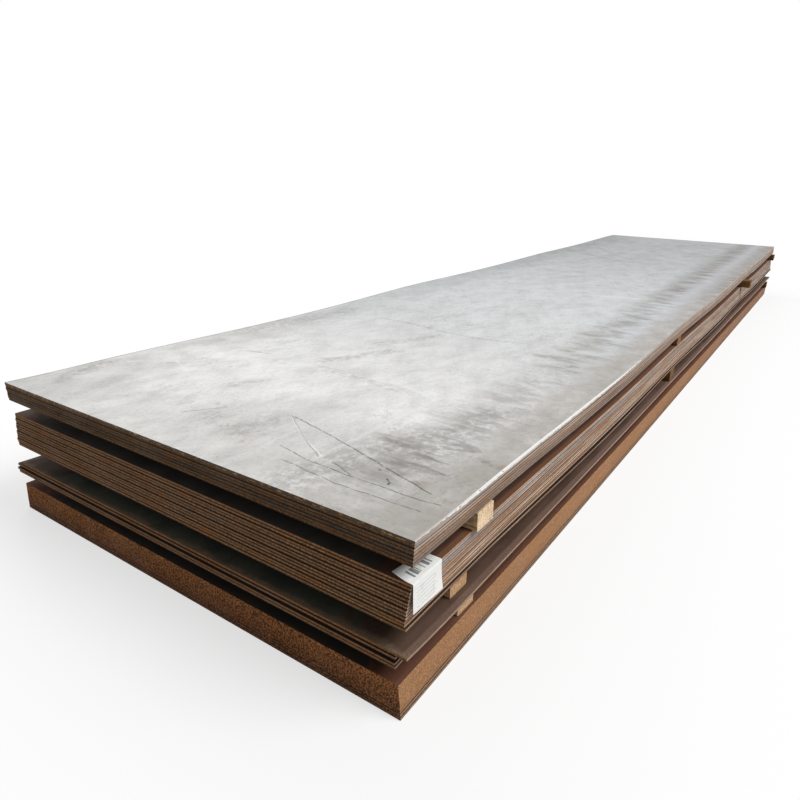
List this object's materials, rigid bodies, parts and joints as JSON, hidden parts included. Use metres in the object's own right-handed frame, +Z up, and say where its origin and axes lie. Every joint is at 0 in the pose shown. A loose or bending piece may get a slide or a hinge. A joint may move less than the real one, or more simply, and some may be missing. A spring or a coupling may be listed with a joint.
{
  "type": "stack of steel plates",
  "caption": "Long flat stack of rusty hot-rolled steel plates lying in packs on timber battens, with a folded paper tag at one corner; stock for cutting and fabrication.",
  "frame": {"origin": "on the floor under the middle of the top plate", "axes": "+X along the plates towards the far end, +Y across them away from the long side with the tag, +Z up"},
  "size_m": [6.0239, 1.6056, 0.4418],
  "materials": {
    "mill_scale": "dull pale mill scale with scuffs",
    "rusted_edges": "brown rust on cut edges",
    "pine": "sawn and unfinished",
    "paper": "matt white"
  },
  "bodies": {
    "root": {"top_plate": "mill_scale", "top_pack": "rusted_edges", "second_pack": "rusted_edges", "third_pack": "rusted_edges", "bottom_pack": "rusted_edges", "upper_batten_1": "pine", "upper_batten_2": "pine", "upper_batten_3": "pine", "upper_batten_4": "pine", "middle_batten_1": "pine", "middle_batten_2": "pine", "middle_batten_3": "pine", "middle_batten_4": "pine", "lower_batten_1": "pine", "lower_batten_2": "pine", "lower_batten_3": "pine", "lower_batten_4": "pine", "paper_tag": "paper"}
  },
  "joints": []
}
